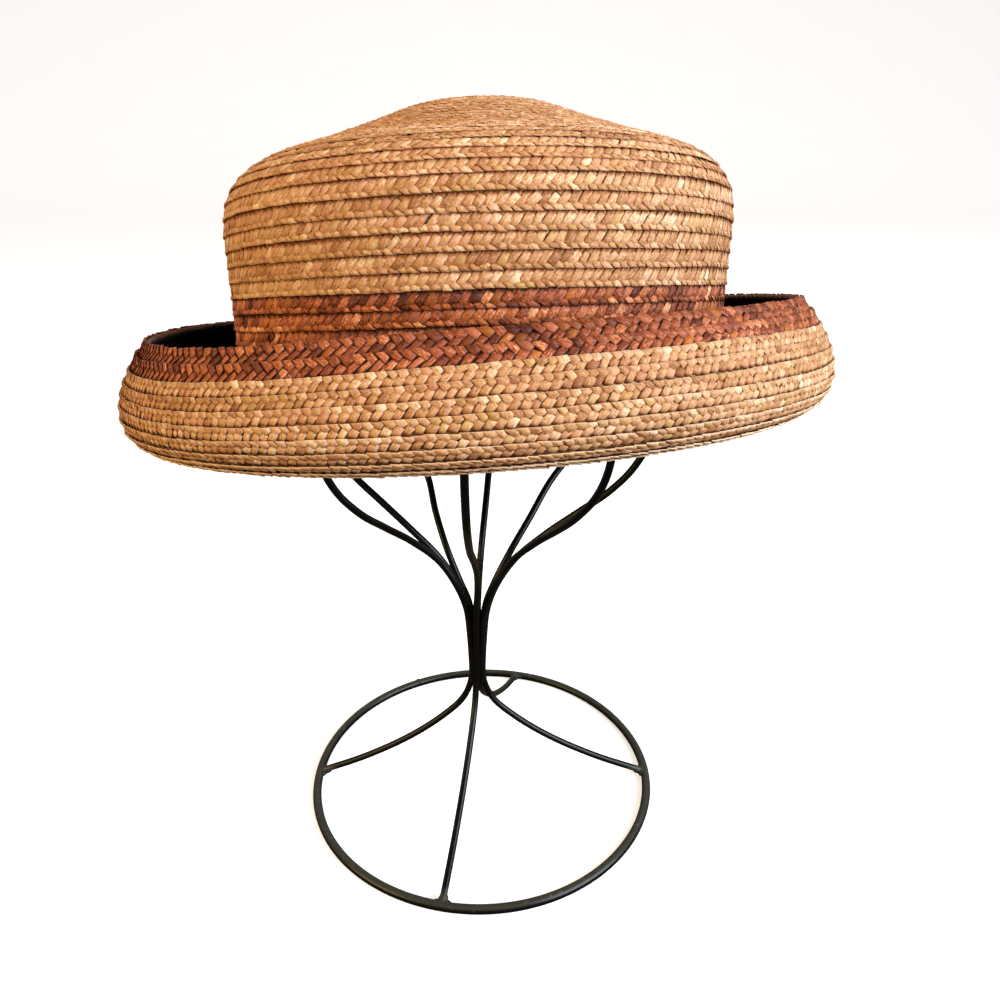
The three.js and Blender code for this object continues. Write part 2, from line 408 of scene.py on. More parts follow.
def on_stand(spots):
    # From the hat's own frame to where the hat sits on the stand.
    turn = np.array(hat_place.to_3x3())
    return spots @ turn.T + np.array(hat_place.translation)


def on_crown(angle, distance, rise=0):
    radius, height = crown_section.at(distance, rise)
    spots = on_oval(angle, radius, height)
    spots[..., 0] += CROWN_LEAN * height
    return on_stand(spots)


upper = crown_section.distance > crown_section.length / 2
tip_distance = np.interp(
    -BRANCH_TIP_RADIUS, -crown_section.line[upper, 0], crown_section.distance[upper],
)
branches = []
for number, (stem, direction, spread, parts) in enumerate(BRANCHES):
    stations = [
        at_trunk(row[0] * spread / ROUTE_SPREAD, stem + (direction - stem) * row[parts], row[1])
        for row in BRANCH_ROUTE
    ]
    tip = on_crown(np.array(math.radians(direction)), tip_distance, -BRANCH_TIP_DEPTH)
    stations.append(Vector(tip))
    branches.append(wire_along(f"branch_{number}", bent_wire_route(stations)))
stand_branches = join_pieces("stand_branches", branches)
bpy.ops.object.shade_smooth()
hand_over(stand_branches, "black_wire", black_wire)


# ---- The stand's welds -----------------------------------------------------------------------
# Beads of weld where the legs meet the ring, where the ring's own ends meet, and where wires
# lie against each other in the trunk. Each is a smooth uneven drop, painted over.

BUTT_WELD_DIRECTION = 118
welds = []


def weld_bead(spot, size, turn=0.0):
    deselect_all()
    bpy.ops.mesh.primitive_ico_sphere_add(subdivisions=3, radius=1, location=(0, 0, 0))
    bead = just_made(f"weld_{len(welds)}")
    for vertex in bead.data.vertices:
        x, y, z = vertex.co
        uneven = 1 + 0.10 * math.sin(7 * x + len(welds)) * math.cos(6 * y + 2 * z)
        vertex.co = Vector((x * size[0], y * size[1], z * size[2])) * uneven * MM
    bead.rotation_euler.z = turn
    bead.location = spot
    settle(bead)
    welds.append(bead)


for direction in LEG_DIRECTIONS:
    turn = math.radians(direction)
    spoke = Vector((math.cos(turn), math.sin(turn), 0))
    joint = ring_middle + spoke * (RING_RADIUS - 1.6 * MM) + Vector((0, 0, 2.6 * MM))
    weld_bead(joint, (2.3, 4.4, 1.9), turn)
    weld_bead(joint - spoke * 2.2 * MM + Vector((0, 0, 0.6 * MM)), (2.6, 2.2, 1.75), turn)
butt = math.radians(BUTT_WELD_DIRECTION)
weld_bead(
    ring_middle + Vector((math.cos(butt), math.sin(butt), 0)) * RING_RADIUS
    + Vector((0, 0, RING_BAR / 2 + 0.25 * MM)), (2.5, 1.5, 2.3), butt,
)
for height, size in ((70, (3.4, 3.4, 7)), (84, (3.4, 3.4, 8)), (97, (4.0, 3.6, 6))):
    weld_bead(at_trunk(0, 0, height), size)
for side in (0, 180):
    weld_bead(at_trunk(5, side, 109), (1.6, 2.0, 4.2))
stand_ring = join_pieces("stand_ring", [ring, *welds])
bpy.ops.object.shade_smooth()
hand_over(stand_ring, "black_wire", black_wire, "wire_stand")


# ---- The crown's braid -----------------------------------------------------------------------
# The hat is one long plait of split natural straw, sewn round and round from the tip, each row
# lapped over the next one down. A row shows its folded edge, a lane of short pads leaning left,
# a lane of plump pads leaning right, and the ends of the next lane, tucked under the row above.

STITCH = 3.4                      # along the row, from pad to pad
WALL_ROW = 5.95                   # from edge to edge on the wall, and on the top
TOP_ROW = 5.06
SHOULDER = 74
TOP_START = 86
BAND_HEIGHT = 40.7
EDGE_RISE = 0.20                  # of a row's folded edge and of its tucked side, about the
TUCK_RISE = -0.88                 # smooth surface that the rows average out to
WANDER = 0.22                     # how far a row strays up and down


def take_pad(side_fall, end_fall, corner):
    # One strand between two crossings: a thin closed pad, gently curved, with crisp edges.
    deselect_all()
    bpy.ops.mesh.primitive_grid_add(x_subdivisions=2, y_subdivisions=2, size=2, location=(0, 0, 1))
    pad = just_made("pad")
    settle(pad)
    bpy.ops.object.mode_set(mode="EDIT")
    bpy.ops.mesh.select_mode(type="FACE")
    bpy.ops.mesh.select_all(action="SELECT")
    bpy.ops.mesh.extrude_region_move(TRANSFORM_OT_translate={"value": (0, 0, -1.4)})
    bpy.ops.mesh.dissolve_faces()
    face_outwards()
    spots = np.array([vertex.co for vertex in pad.data.vertices])
    across, along = spots[:, 0].copy(), spots[:, 1].copy()
    on_top = spots[:, 2] > 0
    pulled = np.where(np.abs(across * along) > 0.5, corner, 1) * np.where(on_top, 0.95, 1)
    spots[:, :2] *= pulled[:, None]
    spots[:, 2] -= on_top * (side_fall * across**2 + end_fall * along**2)
    faces = [tuple(face.vertices) for face in pad.data.polygons]
    smooth = [face.normal.z > 0.5 for face in pad.data.polygons]
    bpy.data.objects.remove(pad)
    return spots, faces, smooth


strand_pad = take_pad(0.06, 0.45, 0.99)
flat_pad = take_pad(0.08, 0.26, 0.98)
fold_pad = take_pad(0.10, 0.40, 0.97)


@dataclass
class Lane:
    # One lane of a plait, in millimetres and degrees.
    pad: tuple
    along: float                  # how far along and up the row its pads sit
    up: float
    lean: float
    half: tuple                   # half their width and half their length
    thick: float
    roll: float = 0               # tilt to one side
    lift: float = 0
    dive: float = 0               # how steeply their near ends go under the lane before
    taper: float = 0              # how much narrower they are at their far ends
    cut: tuple = (0, 0)           # how square to the strand a slanted pad's two ends are
    slanted: bool = False         # cut along the row, where the others are square
    shade: float = 0              # how much painted shade darkens their far ends, or below 0 their near ends
    outline: float = 1            # how plainly the painted shade along their edges shows
    lit: float = 0                # how strong the painted highlight on their folded ends is


@dataclass
class Row:
    # One turn of the plait: its folded edge, which way it is tucked (1 is up the section), how
    # much of it shows, and how much lighter it is.
    edge: float
    way: int
    shows: float
    tone: float = 0


def lay_braid(name, place, rows, lanes, seed, stitch=STITCH, inwards=False,
              edge_rise=EDGE_RISE, tuck_rise=TUCK_RISE, contrast=1):
    # Copies every pad of every lane along the rows and presses it onto the hat.
    chance = np.random.default_rng(seed)
    turns = np.linspace(0, 2 * math.pi, 721)
    spots, strands, squares, tints, flats = [], [], [], [], []
    corners, lengths, cells, caps, softness = [], [], [], [], []
    first = pads_so_far = 0
    for row in rows:
        path = place(turns, (row.edge + row.way * row.shows / 2) * MM)
        run = np.concatenate([[0], np.cumsum(np.linalg.norm(np.diff(path, axis=0), axis=1))])
        run /= MM
        many = max(4, round(run[-1] / stitch))
        size = (many, 1)
        pitch = run[-1] / many
        phase = chance.uniform(0, 2 * math.pi, 4)
        row_tone = row.tone + chance.normal(0, 0.05)
        for lane in lanes:
            pad, faces, smooth = lane.pad
            pads_x, pads_y, pads_z = pad.T[:, None, :]
            seat = (np.arange(many)[:, None] + lane.along) * pitch
            turn = np.interp(seat % run[-1], run, turns)

            # No two strands are alike.
            seat = seat + chance.normal(0, 0.13, size) + 0.3 * row.edge
            lean = math.radians(lane.lean) + np.radians(chance.normal(0, 5, size))
            wide = lane.half[0] * pitch / STITCH * (1 + chance.normal(0, 0.09, size))
            long = lane.half[1] * (1 + chance.normal(0, 0.08, size))
            thick = lane.thick * (1 + chance.normal(0, 0.16, size))
            roll = lane.roll + chance.normal(0, 0.03, size)
            pitched = lane.dive + chance.normal(0, 0.06, size)
            across = pads_x * wide * (1 + lane.taper * pads_y)
            down = pads_y * long
            if lane.slanted:
                near, far = lane.cut
                run_on = down + pads_x * (near * (1 - pads_y) + far * (1 + pads_y)) / 2
                x = across + run_on * np.tan(lean)
                y = lane.up + chance.normal(0, 0.05, size) + run_on
            else:
                x = across * np.cos(lean) + down * np.sin(lean)
                y = lane.up + chance.normal(0, 0.08, size) - across * np.sin(lean)
                y = y + down * np.cos(lean)
            base = edge_rise + (tuck_rise - edge_rise) * np.clip(y / row.shows, -0.15, 1.25)
            rise = base + lane.lift + pads_z * thick + roll * across + pitched * down
            if inwards:
                x, rise = -x, -rise
            waves = sum(
                share * np.sin(count * turn + shift)
                for share, count, shift in zip((1, 0.6, 0.35, 0.2), (2, 5, 9, 17), phase)
            )
            angle = np.interp((seat + row.way * x) % run[-1], run, turns)
            distance = row.edge + row.way * y + WANDER * waves
            spots.append(place(angle, distance * MM, rise * MM).reshape(-1, 3))
            shift = chance.uniform(0, 400, (many, 1, 2))
            strands.append((np.stack([across, down + 0 * across], -1) + shift).reshape(-1, 2))

            # The tint holds each strand's tone, its warmth, how much painted shade it takes (low
            # on its sides, towards one end and under the row above), and how much painted
            # highlight its folded end takes.
            drift = sum(
                0.5 * np.sin(count * turn + shift)
                for count, shift in zip((3, 8), chance.uniform(0, 6.3, 2))
            )
            odd = chance.random(size)
            tone = 0.5 + row_tone + contrast * (0.07 * drift + chance.normal(0, 0.10, size))
            tone = tone + contrast * (0.16 * (odd > 0.95) - 0.16 * (odd < 0.05))
            warmth = np.clip(0.5 + 0.12 * drift + chance.normal(0, 0.20, size), 0, 1)
            # Painted shade: the lower a vertex sits in the pad, the darker, as in the cracks
            # between strands; folded ends take little of it.
            painted_shade_amount = np.clip(1 - (pads_z + 0.38) / 1.05, 0, 1) + 0 * across
            at_fold = lane.slanted and lane.up < 2
            if at_fold:
                painted_shade_amount = painted_shade_amount * np.where(pads_y < -0.5, 0.15, 1)
            # Painted shade towards one end of each pad, as the lane's shade sets.
            painted_shade_amount = painted_shade_amount + np.abs(lane.shade) * np.clip(pads_y * np.sign(lane.shade), 0, 1)
            # Painted shadow where the lane runs under the row above.
            painted_shade_amount = painted_shade_amount + np.clip((y - row.shows + 0.85) / 0.55, 0, 1)
            # The fourth value is the painted highlight on a folded end.
            tints.append(np.stack([
                np.clip(tone, 0, 1) + 0 * across, warmth + 0 * across, np.clip(painted_shade_amount, 0, 1),
                lane.lit * (pads_y < -0.5) + 0 * across,
            ], -1).reshape(-1, 4))
            # outline sets how strongly the painted shade along the pad's edges shows.
            outline = lane.outline * (1 + chance.normal(0, 0.03, size))
            folded = np.where(pads_y < 0, 0.6, 1) if at_fold else 1
            squares.append(
                np.stack([pads_x * outline, pads_y * folded * outline], -1).reshape(-1, 2),
            )

            loops = np.concatenate([face[::-1] if inwards else face for face in faces])
            sides = np.array([len(face) for face in faces])
            starts = first + len(pad) * np.arange(many)[:, None]
            corners.append((loops[None] + starts).ravel())
            lengths.append(np.tile(sides, many))
            softness.append(np.tile(smooth, many))
            cells.append(np.repeat(pads_so_far + np.arange(many), len(loops)))
            caps.append(np.tile(np.repeat(sides == sides.max(), sides), many))
            flats.append(np.tile(pad[:, :2] * 0.46 + 0.5, size))
            first += len(pad) * many
            pads_so_far += many

    corners, lengths, cells, caps = (
        np.concatenate(pieces) for pieces in (corners, lengths, cells, caps)
    )
    mesh = bpy.data.meshes.new(name)
    mesh.vertices.add(first)
    mesh.vertices.foreach_set("co", np.concatenate(spots).astype(np.float32).ravel())
    mesh.loops.add(len(corners))
    mesh.loops.foreach_set("vertex_index", corners.astype(np.int32))
    mesh.polygons.add(len(lengths))
    mesh.polygons.foreach_set(
        "loop_start", np.concatenate([[0], np.cumsum(lengths)[:-1]]).astype(np.int32),
    )
    mesh.update(calc_edges=True)
    mesh.polygons.foreach_set("use_smooth", np.concatenate(softness))

    # Each pad has its own square of the map that the finish can be painted on, its underside in
    # the square's lowest strip.
    flat = np.concatenate(flats)[corners]
    grid = math.ceil(math.sqrt(pads_so_far))
    high = np.where(caps, 0.02 + flat[:, 1] * 0.10, 0.15 + flat[:, 1] * 0.83)
    sheet = np.stack([(cells % grid + flat[:, 0]) / grid, (cells // grid + high) / grid], -1)
    for title, places in (
        ("OFBake", sheet), ("strand", np.concatenate(strands)[corners]),
        ("pad", np.concatenate(squares)[corners]),
    ):
        layer = mesh.uv_layers.new(name=title)
        layer.uv.foreach_set("vector", places.astype(np.float32).ravel())
    mesh.uv_layers.active = mesh.uv_layers["OFBake"]
    tint = mesh.attributes.new("straw_tint", "FLOAT_COLOR", "POINT")
    tint.data.foreach_set("color", np.concatenate(tints).astype(np.float32).ravel())
    piece = bpy.data.objects.new(name, mesh)
    bpy.context.collection.objects.link(piece)
    return piece


def straw(name, tones, yellow, pink, painted_gap_shade, lit, roughness=0.62, specular=0.22, edge=0.50):
    # Split straw: a waxy skin with fine lengthwise fibres, every strand its own tone. Its edges
    # and the gaps beside it take painted shade in the gap-shade colour, a folded end a painted
    # highlight in the lit one.
    finish = Finish(name)
    strand = finish.node("ShaderNodeUVMap", uv_map="strand")
    tint = finish.node("ShaderNodeAttribute", attribute_name="straw_tint")
    tone, warmth, painted_shade_amount = finish.parts(tint, "Color")
    square = finish.parts(finish.node("ShaderNodeUVMap", uv_map="pad"))
    sides = [side.maths("ABSOLUTE") for side in square[:2]]
    place = finish.place()
    fibre = finish.noise(strand, 1, detail=3, roughness=0.65, stretch=(1.5, 0.26, 1))
    fine = finish.noise(strand, 1, detail=3, roughness=0.75, stretch=(1.5, 1.0, 1))
    stain = finish.noise(place, 55, detail=3, roughness=0.6)
    shade = tone + (fibre - 0.5) * 0.80 + (fine - 0.5) * 1.50 + (stain - 0.5) * 0.22
    colour = finish.ramp(shade, tones)
    colour = finish.mix(finish.grade(warmth, 0.62, 0.95) * 0.5, colour, pink)
    colour = finish.mix(finish.grade(warmth, 0.38, 0.05) * 0.5, colour, yellow)
    # Painted shade from the tint: in the cracks, towards shaded ends and under the row above.
    painted_shade = finish.grade(painted_shade_amount + (fine - 0.5) * 0.30, 0.28, 1.0)
    # Painted shade along each pad's edges, as thin dark lines.
    painted_edge_shade = finish.grade(sides[0].maths("MAXIMUM", sides[1]) + (fine - 0.5) * 0.10, 0.80, 0.95)
    # Painted highlight on the folded ends.
    painted_highlight = finish.grade(
        Value(finish, tint.socket.node.outputs["Alpha"]) + (fine - 0.5) * 0.12, 0.55, 1.0,
    )
    colour = finish.mix(painted_edge_shade * edge, colour, painted_gap_shade)
    colour = finish.mix(painted_highlight, colour, lit)
    colour = finish.mix(painted_shade * 0.85, colour, painted_gap_shade)
    finish.set(
        Base_Color=colour, Roughness=roughness + (fibre - 0.5) * 0.25 + painted_shade * 0.3,
        Normal=finish.bump(0.8, 0.05, fibre * 1.4 + fine),
    )
    finish.shader.inputs["Specular IOR Level"].default_value = specular
    return finish.material


# The last two colours are the painted shade in the gaps and the painted highlight on folded ends.
natural_straw = straw(
    "natural_straw",
    ((0.12, sRGB(146, 90, 54)), (0.37, sRGB(189, 130, 86)), (0.61, sRGB(214, 160, 117)),
     (0.88, sRGB(242, 204, 166))),
    sRGB(196, 150, 84), sRGB(216, 148, 116), sRGB(116, 52, 14), (0.85, 0.70, 0.50),
)

# Each lane's shade, outline and lit set its painted shade and painted highlight.
crown_lanes = (
    Lane(strand_pad, 0.35, 1.28, -42, (1.82, 1.04), 0.42, roll=-0.07, taper=-0.04, cut=(0, 0.55),
         slanted=True, shade=0.10, outline=0.94),
    Lane(flat_pad, 0.00, 3.64, 38, (1.49, 2.72), 0.46, roll=-0.09, shade=-0.30, lift=0.12,
         dive=0.09, outline=0.96),
    Lane(fold_pad, 0.62, 5.95, -42, (0.95, 1.20), 0.42),
)

top_lanes = (
    Lane(strand_pad, 0.35, 1.10, -40, (1.84, 0.92), 0.42, roll=-0.07, cut=(0, 0.40),
         slanted=True, shade=0.10, outline=0.88),
    Lane(flat_pad, 0.00, 3.15, 38, (1.49, 2.50), 0.46, roll=-0.09, shade=-0.25, lift=0.14,
         dive=0.09, outline=0.90),
)

edges = [BAND_HEIGHT]
while edges[-1] < crown_section.length / MM - 6:
    edges.append(edges[-1] + (WALL_ROW if edges[-1] < SHOULDER else TOP_ROW))
crown_rows = [
    Row(edge, 1, after - edge) for edge, after in zip(edges, edges[1:] + [edges[-1] + TOP_ROW])
]
wall_rows = [row for row in crown_rows if row.edge < TOP_START]
top_rows = [row for row in crown_rows if row.edge >= TOP_START]
crown_wall = lay_braid("crown_wall_braid", on_crown, wall_rows, crown_lanes, 11)
hand_over(crown_wall, "natural_straw", natural_straw)
crown_top = lay_braid(
    "crown_top_braid", on_crown, top_rows, top_lanes, 12, stitch=3.2, tuck_rise=-0.65,
)
hand_over(crown_top, "natural_straw", natural_straw)


# ---- The crown's inside ----------------------------------------------------------------------
# The back of the same braid, flatter and duller, its rows' other edges standing up as low
# ridges. It also closes the gaps between the outside's strands.

HAT_SEGMENTS = 96
CORE_RISE = -1.00                 # the dark layer just under the outside's pads
INSIDE_RISE = -2.2
RIDGE = 0.55
STITCHES_ROUND = 176


def hoop(radius, height):
    return height, radius + oval_stretch(radius), radius - oval_stretch(radius)


def off_oval(spots):
    # How far out each spot is, the oval's stretch there, and where round the oval it is.
    radius = np.hypot(spots[:, 0], spots[:, 1])
    stretch = oval_stretch(radius)
    turn = np.arctan2(spots[:, 1] * (radius + stretch), spots[:, 0] * (radius - stretch))
    return radius, stretch, turn


def turn_shell(name, stations, lean=0.0):
    # An oval hoop, extruded from station to station as the hat is blocked.
    height, length, width = hoop(*stations[0])
    deselect_all()
    bpy.ops.mesh.primitive_circle_add(vertices=HAT_SEGMENTS, radius=1, location=(0, 0, 0))
    shell = just_made(name)
    bpy.ops.object.mode_set(mode="EDIT")
    bpy.ops.mesh.select_mode(type="EDGE")
    bpy.ops.mesh.select_all(action="SELECT")
    bpy.ops.transform.resize(value=(length, width, 1), center_override=(0, 0, 0))
    bpy.ops.transform.translate(value=(lean * height, 0, height))
    for station in stations[1:]:
        up, longer, wider = hoop(*station)
        bpy.ops.mesh.extrude_edges_move(
            TRANSFORM_OT_translate={"value": (lean * (up - height), 0, up - height)},
        )
        bpy.ops.transform.resize(
            value=(longer / length, wider / width, 1), center_override=(lean * up, 0, up),
        )
        height, length, width = up, longer, wider
    bpy.ops.mesh.select_all(action="SELECT")
    bpy.ops.mesh.remove_doubles(threshold=0.00001)
    bpy.ops.mesh.fill_holes(sides=0)
    face_outwards()
    bpy.ops.object.shade_smooth_by_angle(angle=math.radians(50))
    return shell


def map_braid(shell, section, lean=0.0):
    # Counts stitches round the hat and millimetres up its section, for the finish to read.
    spots = np.array([vertex.co for vertex in shell.data.vertices])
    spots[:, 0] -= lean * spots[:, 2]
    radius, _, turn = off_oval(spots)
    turn = turn / (2 * math.pi) % 1
    line = section.line[::4]
    gaps = np.hypot(radius[:, None] - line[:, 0], spots[:, 2:3] - line[:, 1])
    distance = section.distance[::4][gaps.argmin(axis=1)] / MM
    braid = shell.data.uv_layers.new(name="braid")
    for face in shell.data.polygons:
        round_here = turn[list(face.vertices)]
        over = round_here.max() - round_here.min() > 0.5
        for loop, vertex in zip(face.loop_indices, face.vertices):
            around = turn[vertex] + (1 if over and turn[vertex] < 0.5 else 0)
            braid.uv[loop].vector = (around * STITCHES_ROUND, distance[vertex])


def steps_along(section, distances, rise):
    return [section.at(distance * MM, rise * MM) for distance in distances]


def ridged(edges):
    # Stations up the crown's inside: each row rises to an edge and steps down under the next.
    steps = []
    for low, high in zip(edges, edges[1:]):
        middle = (low + high) / 2
        for step, over in ((low + 0.15, 0.05), (middle, -RIDGE * 0.75), (high - 0.35, -RIDGE)):
            steps += steps_along(crown_section, [step], INSIDE_RISE + over)
    return steps


def hand_over_inside(shell, slot, material, node):
    map_braid(shell, crown_section, CROWN_LEAN)
    shell.matrix_world = hat_place
    settle(shell)
    hand_over(shell, slot, material, node)


def braid_back(name, tones, painted_gap_shade, row, start):
    # The braid's back on a plain shell: slanting strands in two lanes a row, in low relief, with
    # painted shade in the grooves between them.
    finish = Finish(name)
    braid = finish.node("ShaderNodeUVMap", uv_map="braid")
    around, up = finish.parts(braid)[:2]
    rows = (up - start) / row
    share = rows.maths("FRACT")
    lane = share.maths("GREATER_THAN", 0.5)
    slant = around + (share - 0.5).maths("ABSOLUTE") * 1.7 + lane * 0.35
    ridge = (slant.maths("FRACT") - 0.5).maths("ABSOLUTE") * 2
    lane_edge = ((share * 2).maths("FRACT") - 0.5).maths("ABSOLUTE") * 2
    pad = (1 - ridge**3) * (1 - lane_edge**4)
    number = finish.node(
        "ShaderNodeCombineXYZ", {0: slant.maths("FLOOR"), 1: (rows * 2).maths("FLOOR")},
    )
    shade = finish.node("ShaderNodeTexWhiteNoise", {0: number}, noise_dimensions="2D")
    fibre = finish.noise(braid, 1, detail=3, roughness=0.6, stretch=(2.2, 1.1, 1))
    stain = finish.noise(finish.place(), 60, detail=3)
    colour = finish.ramp(0.5 + (shade - 0.5) * 0.5 + (fibre - 0.5) * 0.5 + (stain - 0.5) * 0.3,
                         tones)
    # Painted shade in the grooves between the strands.
    colour = finish.mix(finish.grade(pad, 0.55, 0.05) * 0.8, colour, painted_gap_shade)
    finish.set(
        Base_Color=colour, Roughness=0.52 + (fibre - 0.5) * 0.3,
        Normal=finish.bump(0.9, 0.35, pad + fibre * 0.2),
    )
    return finish.material


# The colour after the tones is the painted shade in the grooves between strands.
natural_back = braid_back(
    "natural_straw_back",
    ((0.2, sRGB(120, 78, 44)), (0.5, sRGB(176, 126, 80)), (0.8, sRGB(206, 160, 112))),
    sRGB(52, 28, 12), WALL_ROW, BAND_HEIGHT,
)
top_length = crown_section.length / MM
outside_distances = np.linspace(top_length - 0.4, BAND_HEIGHT + 0.2, 40)
inside_edges = [edge for edge in edges if edge < top_length - 3] + [top_length - 0.6]
inside_edges[0] = BAND_HEIGHT + 0.2
crown_inside = turn_shell(
    "crown_inside",
    steps_along(crown_section, outside_distances, CORE_RISE) + ridged(inside_edges), CROWN_LEAN,
)
hand_over_inside(crown_inside, "natural_straw", natural_back, "crown")


# ---- The rust rows at the crown's foot -------------------------------------------------------
# The same plait in straw dyed a fox red brown, sewn on under the last natural row. The dye took
# unevenly, so some strands are almost orange and some nearly black.

BAND_ROWS = 7
# The last two colours are the painted shade in the gaps and the painted highlight on folded ends.
rust_straw = straw(
    "rust_straw",
    ((0.12, sRGB(72, 26, 14)), (0.36, sRGB(134, 61, 33)), (0.60, sRGB(188, 100, 60)),
     (0.88, sRGB(244, 170, 126))),
    sRGB(194, 110, 42), sRGB(192, 106, 78), sRGB(46, 10, 4), (0.56, 0.26, 0.15),
    roughness=0.58, specular=0.26, edge=0.80,
)
# The colour after the tones is the painted shade in the grooves between strands.
rust_back = braid_back(
    "rust_straw_back",
    ((0.2, sRGB(60, 28, 18)), (0.5, sRGB(116, 58, 34)), (0.8, sRGB(150, 80, 50))),
    sRGB(24, 9, 6), BAND_HEIGHT / BAND_ROWS, 0,
)
band_edges = [BAND_HEIGHT * turn / BAND_ROWS for turn in range(BAND_ROWS + 1)]
band_rows = [
    Row(low, 1, high - low, tone=-0.07) for low, high in zip(band_edges, band_edges[1:])
]
crown_band = lay_braid(
    "crown_band_braid", on_crown, band_rows, crown_lanes, 21, stitch=3.5, contrast=1.3,
)
hand_over(crown_band, "rust_straw", rust_straw)
band_inside = turn_shell(
    "crown_band_inside",
    steps_along(crown_section, np.linspace(BAND_HEIGHT, 0, 9), CORE_RISE) + ridged(band_edges)
    + steps_along(crown_section, [BAND_HEIGHT], CORE_RISE), CROWN_LEAN,
)
hand_over_inside(band_inside, "rust_straw", rust_back, "crown_band")


# ---- The brim's braid ------------------------------------------------------------------------
# The natural plait runs on outwards from the head opening, droops, and is blocked upwards into
# a roll. It shows its other face here, so each row is lapped over the next one towards the rim,
# and its folded upper edge catches the light.

BRIM_ROW = 4.95
RIM_WIDTH = 11.8
BRIM_SHIFT = -0.8 * MM
BRIM_LIFT_RIGHT = 4 * MM
BRIM_LIFT_BACK = 3.3 * MM
BRIM_BREAK = 22 * MM
SETTLED = 4.3 * MM                # how far the roll has settled at the front left
SETTLED_AT = math.radians(231)
SETTLED_SPREAD = 0.14
SPRUNG = 2.4 * MM                 # and how far it has sprung up at the back left
SPRUNG_AT = math.radians(155)
SPRUNG_SPREAD = 0.12
BRIM_PROFILE = (
    (-2.2, -2.4), (8, -6.3), (17, -9.2), (26.5, -10.5), (35, -9), (41.8, -3.8), (44.5, 4),
    (43, 13.5), (38, 24), (31.5, 32.8),
)
brim_section = Section([(FOOT_RADIUS + outset, height) for outset, height in BRIM_PROFILE])
brim_length = brim_section.length / MM
brim_top = brim_length - RIM_WIDTH


def set_off(spots, radius, turn):
    # The rim sits a little to the left, and higher at the right and at the back.
    grown = np.clip((radius - FOOT_RADIUS * MM) / BRIM_BREAK, 0, 1)
    grown = grown * grown * (3 - 2 * grown)
    spots[..., 0] += BRIM_SHIFT * grown
    lift = BRIM_LIFT_RIGHT * np.cos(turn) + BRIM_LIFT_BACK * np.sin(turn)
    lift = lift + SPRUNG * np.exp((np.cos(turn - SPRUNG_AT) - 1) / SPRUNG_SPREAD)
    spots[..., 2] += lift * grown
    return spots


def slid(angle, distance):
    share = np.interp(distance / brim_section.length, (0.3, 0.85, 1, 1.1), (0, 1, 0.8, 0.8))
    near = np.exp((np.cos(angle - SETTLED_AT) - 1) / SETTLED_SPREAD)
    return distance - SETTLED * share * near


def on_brim(angle, distance, rise=0):
    radius, height = brim_section.at(slid(angle, distance), rise)
    return on_stand(set_off(on_oval(angle, radius, height), radius, angle))


# The folded-edge lane takes a painted highlight, the lane below painted shade at its far end.
brim_lanes = (
    Lane(strand_pad, 0.35, 1.10, -38, (1.80, 1.10), 0.42, roll=-0.08, lift=0.10, taper=-0.06,
         cut=(0, 0.80), slanted=True, outline=0.91, lit=0.76),
    Lane(strand_pad, 0.89, 3.45, 36, (1.80, 1.50), 0.42, roll=-0.08, taper=-0.04,
         cut=(-0.80, -0.45), slanted=True, shade=0.80, outline=0.95),
)
brim_edges = [brim_top]
while brim_edges[-1] > BRIM_ROW * 0.6:
    brim_edges.append(brim_edges[-1] - BRIM_ROW)
brim_rows = [Row(edge, -1, BRIM_ROW, tone=-0.04) for edge in brim_edges if edge > 3]
turn_up = brim_length * 0.45
side_rows = [row for row in brim_rows if row.edge > turn_up]
under_rows = [row for row in brim_rows if row.edge <= turn_up]
for name, rows, seed in (
    ("brim_side_braid", side_rows, 31), ("brim_under_braid", under_rows, 32),
):
    braid = lay_braid(
        name, on_brim, rows, brim_lanes, seed, stitch=3.3, edge_rise=0.10, tuck_rise=-0.70,
    )
    hand_over(braid, "natural_straw", natural_straw)


def turn_brim_shell(name, distances, outer, inner):
    # A wall: out along its outer face, back along its inner one, then settled as the brim is.
    steps = steps_along(brim_section, distances, outer)
    steps += steps_along(brim_section, distances[::-1], inner)
    shell = turn_shell(name, steps + steps[:1])
    spots = np.array([vertex.co for vertex in shell.data.vertices])
    _, stretch, turn = off_oval(spots)
    map_braid(shell, brim_section)
    mean = (spots[:, 0] * np.cos(turn) + spots[:, 1] * np.sin(turn)) - stretch * np.cos(2 * turn)
    line, slope = brim_section.line[::2], brim_section.slope[::2]
    near = np.hypot(mean[:, None] - line[:, 0], spots[:, 2:] - line[:, 1]).argmin(axis=1)
    rise = (mean - line[near, 0]) * slope[near, 1] - (spots[:, 2] - line[near, 1]) * slope[near, 0]
    radius, height = brim_section.at(slid(turn, brim_section.distance[::2][near]), rise)
    settled = set_off(on_oval(turn, radius, height), radius, turn)
    shell.data.vertices.foreach_set("co", settled.ravel())
    shell.matrix_world = hat_place
    settle(shell)
    return shell


brim_core = turn_brim_shell(
    "brim_core", np.linspace(0, brim_top - 0.3, 22), CORE_RISE, INSIDE_RISE,
)
hand_over(brim_core, "natural_straw", natural_back, "brim")


# ---- The rim's rust rows ---------------------------------------------------------------------
# The brim ends in two rows of the rust plait, a little coarser and flatter, lapped as the rest
# of the brim.

